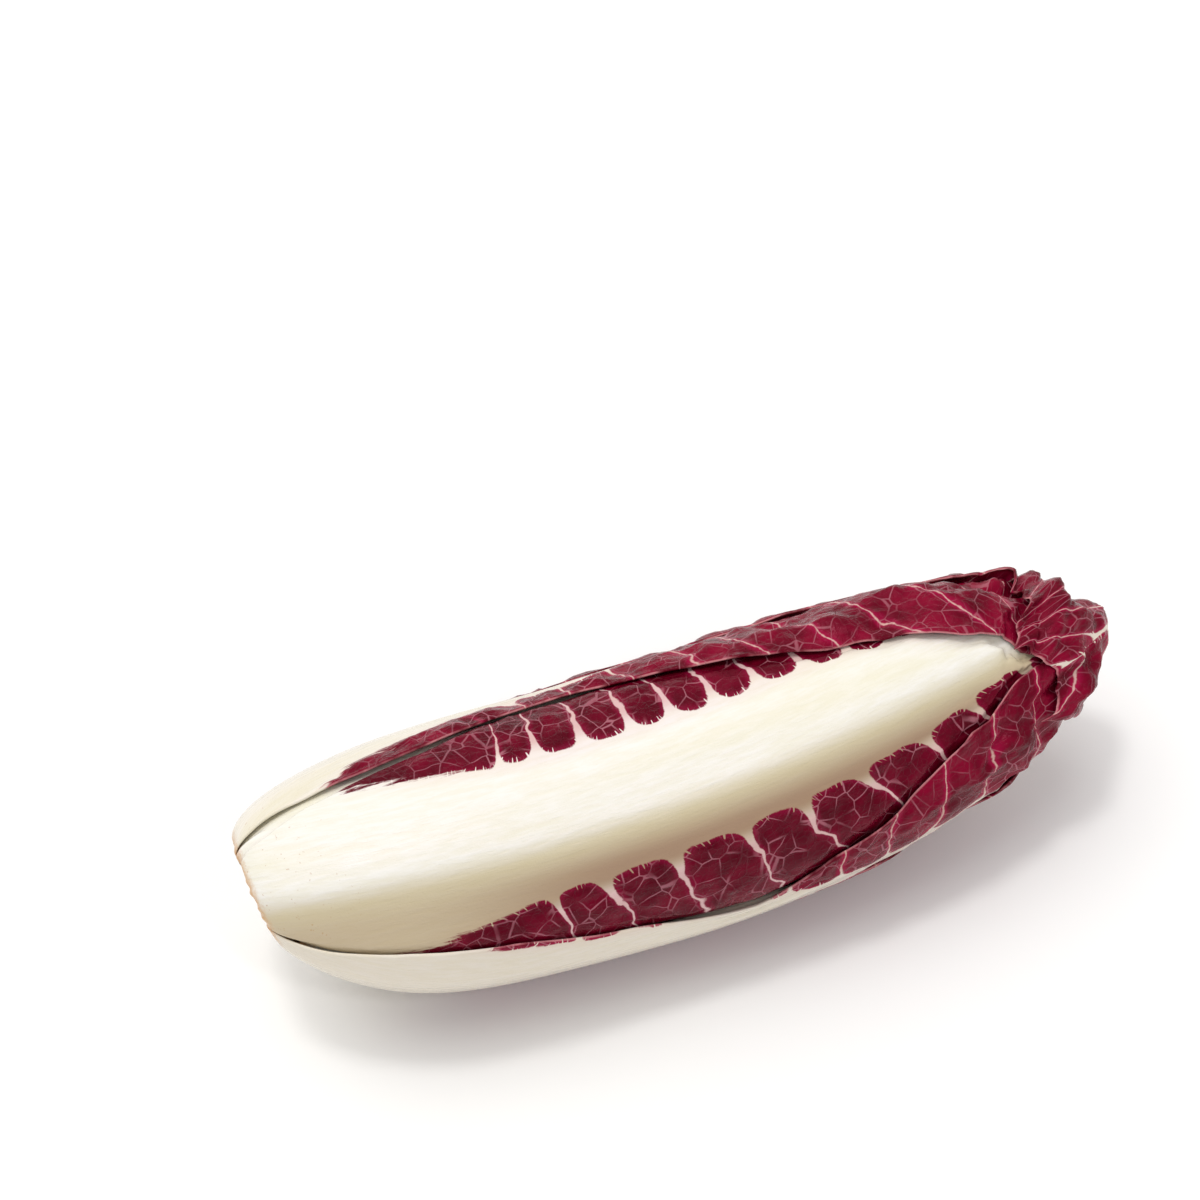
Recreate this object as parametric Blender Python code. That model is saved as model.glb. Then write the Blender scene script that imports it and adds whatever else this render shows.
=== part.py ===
"""A head of long red chicory, the Treviso kind of radicchio, lying on its side.

A short stem core with seventeen leaves wrapped round it, layer under layer. Every leaf is one closed solid
with a thick white rib that thins to a blade at both margins, and it lies on the leaves inside it with a
narrow gap. Metres, Z up. The cut base points to -X and the tip to +X. The head rests on a small flat spot
of its bottom leaf, and that spot's middle is the origin.
"""

import math

import bmesh
import bpy
import numpy as np
from mathutils import Vector
from mathutils.bvhtree import BVHTree

# The outline of the whole head before it is bent
HEAD_LENGTH = 0.225
GREATEST_RADIUS = 0.036
CUT_RADIUS = 0.0135
BULGE_PLACE = 0.36 * HEAD_LENGTH
SPINE_BREAK = 0.150
SPINE_SHARE = 0.40

# The banana bend: radii of the bend upwards and backwards, and the place along the head it starts from
BEND_UP_RADIUS = 0.75
BEND_BACK_RADIUS = 1.05
BEND_PLACE = 0.108

# The flat resting spot
REST_PLACE = 0.096
REST_LEVEL = -0.0345

# The cut across the foot leans: how steeply, and how far along the head the lean has died away
CUT_SLANT = 0.23
CUT_FADE = 0.040

# Leaves
GAP = 0.0005
BLADE = 0.0009
RIDGE = 0.0011
KEEL_PLACE = 0.05
KEEL_WIDTH = 0.12
BACK_FLANK_SHARE = 0.3
ARC_LEAST = 0.027
ARC_SOFTNESS = 0.012
LATTICE = 4

# Stem core
CORE_RADIUS = 0.0105
CORE_LENGTH = 0.042
CORE_ROWS = 8
CORE_SIDES = 16

RED = (0.33, 0.012, 0.055, 1.0)
CREAM = (0.84, 0.80, 0.66, 1.0)


def outline():
    """Distance from the tip along the skin, place along the axis and radius, from the tip to the cut."""
    share = np.linspace(0.0, 1.0, 600)
    base_place = BULGE_PLACE * share**2
    rise = (1.0 - (1.0 - share**2) ** 2.6) ** 0.62
    base_radius = CUT_RADIUS + (GREATEST_RADIUS - CUT_RADIUS) * rise
    sweep = np.sin(share[1:] * math.pi / 2.0)
    tip_place = BULGE_PLACE + (HEAD_LENGTH - BULGE_PLACE) * sweep
    tip_radius = GREATEST_RADIUS * np.maximum(1.0 - sweep**2.7, 0.0) ** (1.0 / 2.3)
    place = np.concatenate([base_place, tip_place])[::-1]
    radius = np.concatenate([base_radius, tip_radius])[::-1]
    steps = np.hypot(np.diff(place), np.diff(radius))
    return np.concatenate([[0.0], np.cumsum(steps)]), place, radius


AWAY, PLACE, RADIUS = outline()


def away_at(place):
    """Distance from the tip, along the skin, of a place along the axis."""
    return float(np.interp(-place, -PLACE, AWAY))


def rays(away, ring):
    """Spine point, ray to the skin and its length for places given by distance from the tip and ring angle."""
    place = np.interp(away, AWAY, PLACE)
    radius = np.interp(away, AWAY, RADIUS)
    spine = np.minimum(place, SPINE_BREAK) + SPINE_SHARE * np.maximum(place - SPINE_BREAK, 0.0)
    start = np.stack([spine, np.zeros_like(spine), np.zeros_like(spine)], axis=-1)
    ray = np.stack([place - spine, -radius * np.sin(ring), radius * np.cos(ring)], axis=-1)
    return start, ray, np.linalg.norm(ray, axis=-1)


def eased(values, along):
    """A smooth run through values given at even stations from the leaf's foot to its tip."""
    steps = np.clip(along, 0.0, 1.0) * (len(values) - 1)
    before = np.minimum(steps.astype(int), len(values) - 2)
    part = steps - before
    part = part * part * (3.0 - 2.0 * part) * 0.5 + part * 0.5
    values = np.asarray(values, float)
    return values[before] * (1.0 - part) + values[before + 1] * part


def leaf_chart(leaf, across, along):
    """Distance from the tip and ring angle on a leaf. Across runs from -1 to 1, along from 0 to 1."""
    start = away_at(leaf["from"])
    run = along - 0.36 * np.sin(2.0 * math.pi * np.clip(along, 0.0, 1.0)) / (2.0 * math.pi)
    middle = start + (leaf["end"] - start) * run
    bow = 0.5 * (middle + ARC_LEAST + np.hypot(middle - ARC_LEAST, ARC_SOFTNESS))
    half = np.where(across < 0.0, eased(leaf["back_side"], along), eased(leaf["front_side"], along))
    swing = np.radians(across * half)
    forward = middle - bow + bow * np.cos(swing)
    aside = bow * np.sin(swing)
    drift = np.radians(leaf["drift"]) * np.clip(along, 0.0, 1.0) ** 2
    return np.hypot(forward, aside), math.radians(leaf["ring"]) + drift + np.arctan2(aside, forward)


def rib_share(leaf, across, along):
    """How much of the rib's height a place on the leaf has, from 0 to 1."""
    half = eased((0.75, 0.62, 0.50, 0.36, 0.22, 0.16), along)
    return np.exp(-np.abs(across / half) ** 3)


def thickness(leaf, across, along):
    """Leaf thickness in metres."""
    rib = leaf["rib"] * eased((0.50, 0.95, 1.0, 0.62, 0.30, 0.18), along)
    rib = np.maximum(rib, BLADE)
    return BLADE + (rib - BLADE) * rib_share(leaf, across, along)


def wave(leaf, across, along):
    """Lift of the crinkled margins, in metres."""
    swell = np.sin(along * leaf["ripples"] * 2.0 * math.pi + leaf["ring"] + 2.0 * across)
    return 0.0005 * swell * np.abs(across) ** 3 * np.clip(along * 2.0 - 0.5, 0.0, 1.0)


def keel(leaf, across, along):
    """Fall of the leaf's two flanks from the keel of its rib, steeper on the front one, in metres."""
    beside = (across - KEEL_PLACE) / KEEL_WIDTH
    fall = leaf["keel"] * (np.sqrt(1.0 + beside**2) - 1.0) * np.exp(-0.5 * (beside / 3.2) ** 2)
    foot_part = np.clip((along + 0.1) / 0.22, 0.0, 1.0)
    tip_part = np.clip((0.98 - along) / 0.23, 0.0, 1.0)
    return fall * np.where(beside < 0.0, BACK_FLANK_SHARE, 1.0) * foot_part * tip_part


def depth_under(tree, away, ring):
    """Depth of the lowest skin of the leaves already laid over each place, or a negative number."""
    start, ray, length = rays(away, ring)
    found = np.full(away.shape, -1.0)
    if tree is None:
        return found
    for index in np.ndindex(away.shape):
        direction = Vector(ray[index]).normalized()
        origin = Vector(start[index])
        hit = tree.ray_cast(origin, direction, float(length[index]) * 1.2)
        if hit[0] is not None:
            share = 1.0 - hit[3] / length[index]
            found[index] = (share + GAP / length[index]) * GREATEST_RADIUS
    return found


def spread_greatest(values, reach):
    """The greatest value within reach of each place of a lattice."""
    for axis in (0, 1):
        shifted = [np.roll(values, step, axis=axis) for step in range(-reach, reach + 1)]
        values = np.max(shifted, axis=0)
    return values


def smoothed_down(depth):
    """Eases the steps in a depth field without making it shallower anywhere."""
    for _ in range(2):
        padded = np.pad(depth, 1, mode="edge")
        blurred = (padded[:-2, 1:-1] + padded[2:, 1:-1] + padded[1:-1, :-2] + padded[1:-1, 2:]) / 4.0
        depth = np.maximum(depth, blurred)
    return depth


def bent(points):
    """Bends straight-head points and moves them so the resting spot's middle is the origin."""
    along = points[..., 0] - BEND_PLACE
    moved = points.copy()
    lean = np.clip(1.0 - points[..., 0] / CUT_FADE, 0.0, 1.0) ** 2
    moved[..., 0] -= CUT_SLANT * points[..., 2] * lean
    moved[..., 1] += along**2 / (2.0 * BEND_BACK_RADIUS)
    moved[..., 2] += along**2 / (2.0 * BEND_UP_RADIUS)
    rest_bow = (REST_PLACE - BEND_PLACE) ** 2 / (2.0 * BEND_BACK_RADIUS)
    return moved - np.array([REST_PLACE, rest_bow, REST_LEVEL])


def sheet_faces(rows, columns):
    """Triangles of a closed sheet: an outer side, an inner side and the rim between them."""
    size = rows * columns
    faces = []
    for row in range(rows - 1):
        for column in range(columns - 1):
            a = row * columns + column
            b = a + 1
            c = a + columns
            d = c + 1
            faces += [(a, b, d), (a, d, c)]
            faces += [(a + size, d + size, b + size), (a + size, c + size, d + size)]
    edge = [(0, column) for column in range(columns)]
    edge += [(row, columns - 1) for row in range(1, rows)]
    edge += [(rows - 1, column) for column in range(columns - 2, -1, -1)]
    edge += [(row, 0) for row in range(rows - 2, 0, -1)]
    loop = [row * columns + column for row, column in edge]
    for a, b in zip(loop, loop[1:] + loop[:1]):
        faces += [(b, a, a + size), (b, a + size, b + size)]
    return faces


def leaf_points(leaf, tree):
    """Outer and inner points of a leaf laid under the leaves already in the tree."""
    rows, columns = leaf["rows"], leaf["columns"]
    fine_along = (np.arange((rows + 2) * LATTICE + 1) / LATTICE - 1.0) / rows
    fine_across = (np.arange((columns + 2) * LATTICE + 1) / LATTICE - 1.0) / columns * 2.0 - 1.0
    along, across = np.meshgrid(fine_along, fine_across, indexing="ij")
    under = spread_greatest(depth_under(tree, *leaf_chart(leaf, across, along)), LATTICE)
    under = under[LATTICE:-LATTICE:LATTICE, LATTICE:-LATTICE:LATTICE]
    along, across = np.meshgrid(np.linspace(0, 1, rows + 1), np.linspace(-1, 1, columns + 1), indexing="ij")
    away, ring = leaf_chart(leaf, across, along)
    start, ray, length = rays(away, ring)
    scale = GREATEST_RADIUS / length
    rise = RIDGE * (1.0 - rib_share(leaf, across, along)) + keel(leaf, across, along)
    free = leaf["depth"] + (rise - wave(leaf, across, along)) * scale
    top = smoothed_down(np.maximum(free, under))
    bottom = top + thickness(leaf, across, along) * scale
    sides = []
    for depth in (top, bottom):
        if depth.max() > 0.97 * GREATEST_RADIUS:
            raise ValueError(leaf["name"] + " has no room left")
        sides.append(start + ray * (1.0 - depth / GREATEST_RADIUS)[..., None])
    return sides


def core_points(tree):
    """Rings of the stem core, drawn in wherever a leaf's foot needs the room."""
    rows, sides = CORE_ROWS, CORE_SIDES
    reach = np.arange((rows + 2) * LATTICE + 1) / LATTICE - 1.0
    place = np.clip(reach / rows, 0.0, 1.0) * CORE_LENGTH * 0.96
    ring = np.arange(sides * LATTICE) / (sides * LATTICE) * 2.0 * math.pi
    away = np.interp(-place, -PLACE, AWAY)
    under = spread_greatest(depth_under(tree, *np.meshgrid(away, ring, indexing="ij")), LATTICE)
    under = under[LATTICE:-LATTICE:LATTICE, ::LATTICE]
    place = place[LATTICE:-LATTICE:LATTICE]
    room = np.interp(-place, -PLACE, RADIUS)[:, None] * (1.0 - np.maximum(under, 0.0) / GREATEST_RADIUS)
    cone = CORE_RADIUS * (1.0 - (place / CORE_LENGTH) ** 2) ** 0.8
    radius = np.minimum(room, cone[:, None])
    angle = ring[::LATTICE][None, :]
    rings = [np.broadcast_to(place[:, None], radius.shape), -radius * np.sin(angle), radius * np.cos(angle)]
    return np.stack(rings, axis=-1)


def add_object(name, points, faces, colour):
    """One closed body with its own material."""
    mesh = bpy.data.meshes.new(name)
    body = bmesh.new()
    vertices = [body.verts.new(point) for point in points]
    for face in faces:
        body.faces.new([vertices[index] for index in face])
    bmesh.ops.recalc_face_normals(body, faces=body.faces)
    body.to_mesh(mesh)
    body.free()
    material = bpy.data.materials.new(name + "_skin")
    material.use_nodes = True
    shader = material.node_tree.nodes["Principled BSDF"]
    shader.inputs["Base Color"].default_value = colour
    shader.inputs["Roughness"].default_value = 0.35
    mesh.materials.append(material)
    mesh.shade_smooth()
    mesh.set_sharp_from_angle(angle=math.radians(40.0))
    item = bpy.data.objects.new(name, mesh)
    bpy.context.scene.collection.objects.link(item)


def leaf(name, ring, **more):
    """A leaf's measures. Angles are in degrees, the ring angle from the top towards the front."""
    measures = {
        "name": name,
        "ring": ring,
        "drift": 0.0,
        "from": 0.0,
        "end": 0.006,
        "depth": 0.0008,
        "rib": 0.0052,
        "ripples": 4.0,
        "keel": 0.0,
        "back_side": (40, 50, 56, 58, 54, 14),
        "front_side": (40, 50, 56, 58, 54, 14),
        "rows": 18,
        "columns": 12,
    }
    measures.update(more)
    return measures


def all_leaves():
    """Every leaf from the outermost to the heart."""
    narrow = (40, 46, 50, 52, 50, 14)
    leaves = [
        leaf("leaf_outer_bottom", 180, end=0.012, depth=0.0, rib=0.0056, columns=14,
             back_side=narrow, front_side=narrow),
        leaf("leaf_outer_back", -133, end=-0.028, depth=0.0,
             back_side=(40, 46, 50, 52, 52, 52, 52, 52, 50, 46, 36),
             front_side=(38, 48, 58, 66, 72, 76, 78, 78, 72, 58, 40)),
        leaf("leaf_outer_low_front", 106, drift=14, end=-0.004,
             back_side=(25, 28, 31, 29, 20, 8, 30, 54, 68, 64, 26), front_side=narrow),
        leaf("leaf_outer_top", -66, end=-0.008, front_side=(44, 42, 28, 51, 79, 22)),
        leaf("leaf_outer_front", 32, drift=-30, end=0.016, depth=0.0011, rib=0.0056, keel=0.0011,
             back_side=(35, 50, 64, 66, 60, 16),
             front_side=(49, 49, 50, 58, 70, 86, 80, 74, 70, 50, 18)),
    ]
    for number, ring in enumerate((-18, -100, 143, 72, -152)):
        leaves.append(leaf(f"leaf_middle_{number + 1}", ring, **{"from": 0.002 * number}, end=0.010,
                           depth=0.0028, rib=0.0042, rows=14, columns=10,
                           back_side=(32, 42, 54, 57, 54, 14), front_side=(34, 44, 54, 57, 54, 14)))
    for number in range(1, 5):
        leaves.append(leaf(f"leaf_inner_{number}", 30 + 137.5 * number, **{"from": 0.014 + 0.002 * number},
                           end=0.008, depth=0.0090, rib=0.0036, rows=12, columns=8,
                           back_side=(28, 42, 58, 64, 58, 16), front_side=(28, 42, 58, 64, 58, 16)))
    for number in range(1, 4):
        leaves.append(leaf(f"leaf_heart_{number}", 80 + 137.5 * number, **{"from": 0.028 + 0.005 * number},
                           end=0.014, depth=0.0150, rib=0.0026, rows=10, columns=8,
                           back_side=(32, 50, 66, 72, 64, 18), front_side=(32, 50, 66, 72, 64, 18)))
    return leaves


def build_leaves():
    """Lays the leaves from the outside in and returns a tree of all their faces."""
    points_so_far = []
    faces_so_far = []
    tree = None
    for measures in all_leaves():
        sides = np.array(leaf_points(measures, tree)).reshape(-1, 3)
        faces = sheet_faces(measures["rows"] + 1, measures["columns"] + 1)
        placed = bent(sides)
        if not points_so_far:
            placed[:, 2] = np.maximum(placed[:, 2], 0.0)
        add_object(measures["name"], placed, faces, RED)
        offset = len(points_so_far)
        points_so_far += [Vector(point) for point in sides]
        faces_so_far += [tuple(index + offset for index in face) for face in faces]
        tree = BVHTree.FromPolygons(points_so_far, faces_so_far)
    return tree


def build_core(tree):
    """The trimmed stem the leaves grow from."""
    rings = core_points(tree)
    rows, sides = rings.shape[:2]
    middle = [(0.0, 0.0, 0.0), (CORE_LENGTH, 0.0, 0.0)]
    points = np.concatenate([rings.reshape(-1, 3), middle])
    foot = rows * sides
    faces = []
    for side in range(sides):
        after = (side + 1) % sides
        faces.append((foot, side, after))
        faces.append((foot + 1, foot - sides + after, foot - sides + side))
        for row in range(rows - 1):
            a = row * sides + side
            b = row * sides + after
            faces += [(a, b, b + sides), (a, b + sides, a + sides)]
    add_object("stem_core", bent(points), faces, CREAM)


def main():
    for item in list(bpy.data.objects):
        bpy.data.objects.remove(item, do_unlink=True)
    build_core(build_leaves())


main()
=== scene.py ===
"""Radicchio head, long Treviso kind, on its side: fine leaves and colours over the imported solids."""
import math

import bpy
import numpy as np
from mathutils import Matrix, Vector
from mathutils.bvhtree import BVHTree


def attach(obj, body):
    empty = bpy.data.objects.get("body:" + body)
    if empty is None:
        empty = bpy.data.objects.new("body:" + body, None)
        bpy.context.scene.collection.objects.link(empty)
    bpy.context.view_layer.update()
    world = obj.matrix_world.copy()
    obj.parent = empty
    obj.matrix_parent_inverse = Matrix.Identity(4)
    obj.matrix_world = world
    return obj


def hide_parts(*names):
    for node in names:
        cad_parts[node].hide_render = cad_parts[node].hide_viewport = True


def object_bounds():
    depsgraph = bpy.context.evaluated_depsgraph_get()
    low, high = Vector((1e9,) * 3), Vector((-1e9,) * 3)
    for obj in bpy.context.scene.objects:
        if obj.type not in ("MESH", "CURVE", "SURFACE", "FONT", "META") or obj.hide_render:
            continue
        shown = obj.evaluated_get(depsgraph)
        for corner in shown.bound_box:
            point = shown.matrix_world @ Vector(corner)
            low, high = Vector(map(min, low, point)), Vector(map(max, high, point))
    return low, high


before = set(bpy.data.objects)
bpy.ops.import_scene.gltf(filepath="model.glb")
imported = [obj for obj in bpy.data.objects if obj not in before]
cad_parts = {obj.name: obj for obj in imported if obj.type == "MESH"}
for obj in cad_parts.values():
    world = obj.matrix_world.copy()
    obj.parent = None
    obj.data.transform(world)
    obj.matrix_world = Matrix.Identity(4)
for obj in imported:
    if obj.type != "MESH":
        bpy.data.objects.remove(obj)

CAD_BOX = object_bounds()
MM = 0.001

# Whole-number hashing for repeatable noise
HASH_X = 374761393
HASH_Y = 668265263
HASH_SEED = 974634777
HASH_MIX = 1274126177
HASH_MASK = 0xFFFFFFFF
FACET_WARP = 0.45
FACET_WARP_SCALE = 0.9
TRIANGLE_SKEW = 0.36602540378

# The outline of the head before it is bent, the same as the solids'. Lengths are in metres.
HEAD_LENGTH = 0.225
GREATEST_RADIUS = 0.036
CUT_RADIUS = 0.0135
BULGE_PLACE = 0.36 * HEAD_LENGTH
OUTLINE_STEPS = 600
BASE_SWELL = 2.6
BASE_ROUNDNESS = 0.62
TIP_FULLNESS = 2.7
TIP_ROUNDNESS = 2.3
SPINE_BREAK = 0.150
SPINE_SHARE = 0.40
BEND_UP_RADIUS = 0.75
BEND_BACK_RADIUS = 1.05
BEND_PLACE = 0.108
REST_PLACE = 0.096
REST_LEVEL = -0.0345
CUT_SLANT = 0.23
CUT_FADE = 0.040

# Leaf shape, matching the solids' apart from LATTICE, how finely covering leaves are looked for.
# Runs of numbers go from the leaf's foot to its tip.
GAP = 0.0005
BLADE = 0.0009
RIDGE = 0.0011
ARC_LEAST = 0.027
ARC_SOFTNESS = 0.012
LATTICE = 2
LEAF_TURN = 137.5
RUN_EASE = 0.36
RIB_HALF_WIDTHS = (0.75, 0.62, 0.50, 0.36, 0.22, 0.16)
RIB_HEIGHTS = (0.50, 0.95, 1.0, 0.62, 0.30, 0.18)
DEEPEST_SHARE = 0.98
KEEL_REACH = 3.2
KEEL_BACK_FLANK = 0.3

# Unevenness of the margins
TIP_RAGGEDNESS = 0.004
MARGIN_WOBBLE = 0.012
RAGGED_WOBBLE = 0.075
MARGIN_SWELL = 0.0005
MARGIN_LIFT = 0.0006
LOOSE_LIFT = 0.0022
CREASE_ARC = 50.0
LARGE_CREASE = 0.0012
SMALL_CREASE = 0.0005

# The crushed tip, and the calm strip along the front leaf's rib
CRUMPLE_SIZE = 0.0135
CRUMPLE_LARGE = 0.0031
CRUMPLE_SMALL = 0.0011
CRUMPLE_SINK = 0.0004
CRUMPLE_FINENESS = 2.3
LONG_SWELL_LENGTHWISE = 24.0
LONG_SWELL = (0.0009, 0.0007)
CALM_RING = 14.0
CALM_SHARE = 0.85

# Relief of the fine leaves
VEIN_RIDGE = 0.00028
VEIN_RIDGE_WIDTH = 0.8
PUFF = 0.00042
BLISTER = 0.00046
FINE_BLISTER = 0.00016
RIB_GROOVE = 0.00007
RIB_WAVE = 0.00022
FOLD = 0.0009
COVERED_CALM = 0.75
RIM_ROUNDING = 0.45
FOOT_UNEVENNESS = 0.0004
FOOT_FADE = 1.2
LEAF_SHARP_ANGLE = 70.0

# Where the outer side, the inner side and the rim of a leaf lie in its UV layout
UV_MARGIN = 0.01
UV_WIDTH = 0.98
UV_OUTER_LENGTH = 0.66
UV_INNER_START = 0.70
UV_INNER_LENGTH = 0.24
UV_RIM = (0.960, 0.985)

# Stem core. Its radius is 2 mm more than the solid's, to narrow the gap round it.
CORE_RADIUS = 0.0125
CORE_LENGTH = 0.042
CORE_ROWS = 28
CORE_SIDES = 96
CORE_REACH = 3
CORE_END = 0.97
CORE_TAPER = 0.8
CORE_DISCS = (0.85, 0.7, 0.5, 0.3, 0.12)
CORE_UNEVENNESS = 0.0003
CORE_UNEVENNESS_SIZE = 0.003
CORE_SHARP_ANGLE = 50.0

# Colours
CREAM = (0.86, 0.83, 0.73, 1)
CREAM_PALE = (0.90, 0.88, 0.83, 1)
CREAM_GREEN = (0.74, 0.69, 0.36, 1)
CREAM_LILAC = (0.78, 0.52, 0.58, 1)
# Painted warm shade, mixed into the cream of every outer leaf except the front one
CREAM_PAINTED_WARM_SHADE = (0.66, 0.53, 0.35, 1)
VEIN_PINK = (0.60, 0.24, 0.27, 1)
# Olive, partly the rib's own green tint and partly painted shade, and brown painted shade, for the
# lower flank of the front leaf's rib
OLIVE_AND_PAINTED_SHADE = (0.58, 0.48, 0.26, 1)
PAINTED_SHADE_BROWN = (0.34, 0.20, 0.13, 1)
CUT_TAN = (0.62, 0.32, 0.10, 1)
SPECK_BROWN = (0.45, 0.20, 0.06, 1)
CRIMSON = (0.110, 0.0006, 0.009, 1)
CRIMSON_LIGHT = (0.24, 0.0014, 0.024, 1)
CRIMSON_BRIGHT = (0.42, 0.006, 0.065, 1)
CRIMSON_DEEP = (0.055, 0.0003, 0.004, 1)
THREAD_PINK = (0.62, 0.24, 0.30, 1)
RIM_PINK = (0.60, 0.24, 0.26, 1)
CORE_CREAM = (0.80, 0.70, 0.46, 1)
CORE_TAN = (0.62, 0.42, 0.17, 1)
CORE_BROWN = (0.40, 0.20, 0.07, 1)
FLOOR_WHITE = (0.95, 0.95, 0.95, 1)
LAMP_WHITE = (1.0, 0.985, 0.96)
GLOSS_TINT = (1.0, 0.45, 0.60, 1.0)

# The picture
CAMERA_AZIMUTH = -20.2
CAMERA_ELEVATION = 56.0
CAMERA_DISTANCE = 1.15
FRAME_WIDTH = 0.301
AIM = (-0.0200, 0.0478)
# Suns: name, direction towards the light, angle it spans in radians, strength
LIGHTS = (
    ("key", (-0.18, 0.30, 0.94), 1.0, 1.15),
    ("back_glint", (-0.12, 0.16, 0.98), 0.16, 0.60),
    ("front_glint", (0.15, -0.50, 0.85), 0.10, 0.28),
)
SKY_STRENGTH = 0.56
FLOOR_SIZE = 6.0
SENSOR_WIDTH = 36.0


# ---------------------------------------------------------------- noise

def lattice_value(ix, iy, seed):
    """A repeatable random value from -1 to 1 for whole-number lattice points."""
    mixed = ix.astype(np.int64) * HASH_X + iy.astype(np.int64) * HASH_Y + seed * HASH_SEED
    mixed = mixed & HASH_MASK
    mixed = ((mixed ^ (mixed >> 13)) * HASH_MIX) & HASH_MASK
    mixed = ((mixed ^ (mixed >> 16)) * HASH_Y) & HASH_MASK
    return ((mixed >> 8) & 0xFFFF) / 32767.5 - 1.0


def soft_noise(x, y, seed):
    """Smooth noise from -1 to 1 with features about one unit wide."""
    x0, y0 = np.floor(x), np.floor(y)
    fx, fy = x - x0, y - y0
    fx, fy = fx * fx * (3 - 2 * fx), fy * fy * (3 - 2 * fy)
    low = lattice_value(x0, y0, seed) * (1 - fx) + lattice_value(x0 + 1, y0, seed) * fx
    high = lattice_value(x0, y0 + 1, seed) * (1 - fx) + lattice_value(x0 + 1, y0 + 1, seed) * fx
    return low * (1 - fy) + high * fy


def facet_noise(x, y, seed):
    """Flat facets with sharp creases between them, like crushed paper, about one unit wide."""
    broad_x, broad_y = x * FACET_WARP_SCALE, y * FACET_WARP_SCALE
    warp_x = x + FACET_WARP * soft_noise(broad_x, broad_y, seed + 11)
    warp_y = y + FACET_WARP * soft_noise(broad_x, broad_y, seed + 12)
    skew = (warp_x + warp_y) * TRIANGLE_SKEW
    sx, sy = warp_x + skew, warp_y + skew
    x0, y0 = np.floor(sx), np.floor(sy)
    fx, fy = sx - x0, sy - y0
    corner = lattice_value(x0, y0, seed)
    far = lattice_value(x0 + 1, y0 + 1, seed)
    side_x = lattice_value(x0 + 1, y0, seed)
    side_y = lattice_value(x0, y0 + 1, seed)
    lower = corner * (1 - fx) + side_x * (fx - fy) + far * fy
    upper = corner * (1 - fy) + side_y * (fy - fx) + far * fx
    return np.where(fx > fy, lower, upper)


def step_up(value, low, high):
    """0 below low, 1 above high, smooth between."""
    part = np.clip((value - low) / (high - low), 0.0, 1.0)
    return part * part * (3 - 2 * part)


# ---------------------------------------------------------------- the head's shape

def outline():
    """Distance from the tip along the skin, place along the axis and radius, from tip to cut."""
    share = np.linspace(0.0, 1.0, OUTLINE_STEPS)
    base_place = BULGE_PLACE * share**2
    rise = (1.0 - (1.0 - share**2) ** BASE_SWELL) ** BASE_ROUNDNESS
    base_radius = CUT_RADIUS + (GREATEST_RADIUS - CUT_RADIUS) * rise
    sweep = np.sin(share[1:] * math.pi / 2.0)
    tip_place = BULGE_PLACE + (HEAD_LENGTH - BULGE_PLACE) * sweep
    tip_radius = GREATEST_RADIUS * np.maximum(1.0 - sweep**TIP_FULLNESS, 0.0) ** (1.0 / TIP_ROUNDNESS)
    place = np.concatenate([base_place, tip_place])[::-1]
    radius = np.concatenate([base_radius, tip_radius])[::-1]
    steps = np.hypot(np.diff(place), np.diff(radius))
    return np.concatenate([[0.0], np.cumsum(steps)]), place, radius


AWAY, PLACE, RADIUS = outline()


def away_at(place):
    """Distance from the tip, along the skin, of a place along the axis."""
    return float(np.interp(-place, -PLACE, AWAY))


def rays(away, ring):
    """Spine point, ray to the skin and its length, by distance from the tip and ring angle."""
    place = np.interp(away, AWAY, PLACE)
    radius = np.interp(away, AWAY, RADIUS)
    spine = np.minimum(place, SPINE_BREAK) + SPINE_SHARE * np.maximum(place - SPINE_BREAK, 0.0)
    start = np.stack([spine, np.zeros_like(spine), np.zeros_like(spine)], axis=-1)
    ray = np.stack([place - spine, -radius * np.sin(ring), radius * np.cos(ring)], axis=-1)
    return start, ray, np.linalg.norm(ray, axis=-1)


def eased(values, along):
    """A smooth run through values given at even stations from the leaf's foot to its tip."""
    steps = np.clip(along, 0.0, 1.0) * (len(values) - 1)
    before = np.minimum(steps.astype(int), len(values) - 2)
    part = steps - before
    part = part * part * (3.0 - 2.0 * part) * 0.5 + part * 0.5
    values = np.asarray(values, float)
    return values[before] * (1.0 - part) + values[before + 1] * part


def leaf_chart(leaf, across, along):
    """Distance from the tip and ring angle on a leaf. Across is -1 to 1, along is 0 to 1."""
    start = away_at(leaf["foot_place"])
    turn = 2.0 * math.pi
    run = along - RUN_EASE * np.sin(turn * np.clip(along, 0.0, 1.0)) / turn
    middle = start + (leaf["end"] - start) * run
    ragged = step_up(along, 0.45, 0.9) * leaf["ragged"]
    torn = soft_noise(across * 2.4 + 7, along * 0 + leaf["seed"], leaf["seed"])
    middle = middle + TIP_RAGGEDNESS * ragged * torn * along**6
    bow = 0.5 * (middle + ARC_LEAST + np.hypot(middle - ARC_LEAST, ARC_SOFTNESS))
    half = np.where(
        across < 0.0, eased(leaf["back_side"], along), eased(leaf["front_side"], along)
    )
    wobble = soft_noise(along * 13.0, np.sign(across) * 3.0, leaf["seed"] + 5)
    wobble += 0.6 * facet_noise(along * 31.0, np.sign(across) * 3.0, leaf["seed"] + 6)
    half = half * (1.0 + (MARGIN_WOBBLE + RAGGED_WOBBLE * ragged) * wobble * np.abs(across) ** 3)
    swing = np.radians(across * half)
    forward = middle - bow + bow * np.cos(swing)
    aside = bow * np.sin(swing)
    drift = np.radians(leaf["drift"]) * np.clip(along, 0.0, 1.0) ** 2
    ring = math.radians(leaf["ring"]) + drift + np.arctan2(aside, forward)
    return np.hypot(forward, aside), ring


def rib_share(across, along):
    """How much of the rib's height a place on the leaf has, from 0 to 1."""
    half = eased(RIB_HALF_WIDTHS, along)
    return np.exp(-np.abs(across / half) ** 3)


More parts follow.
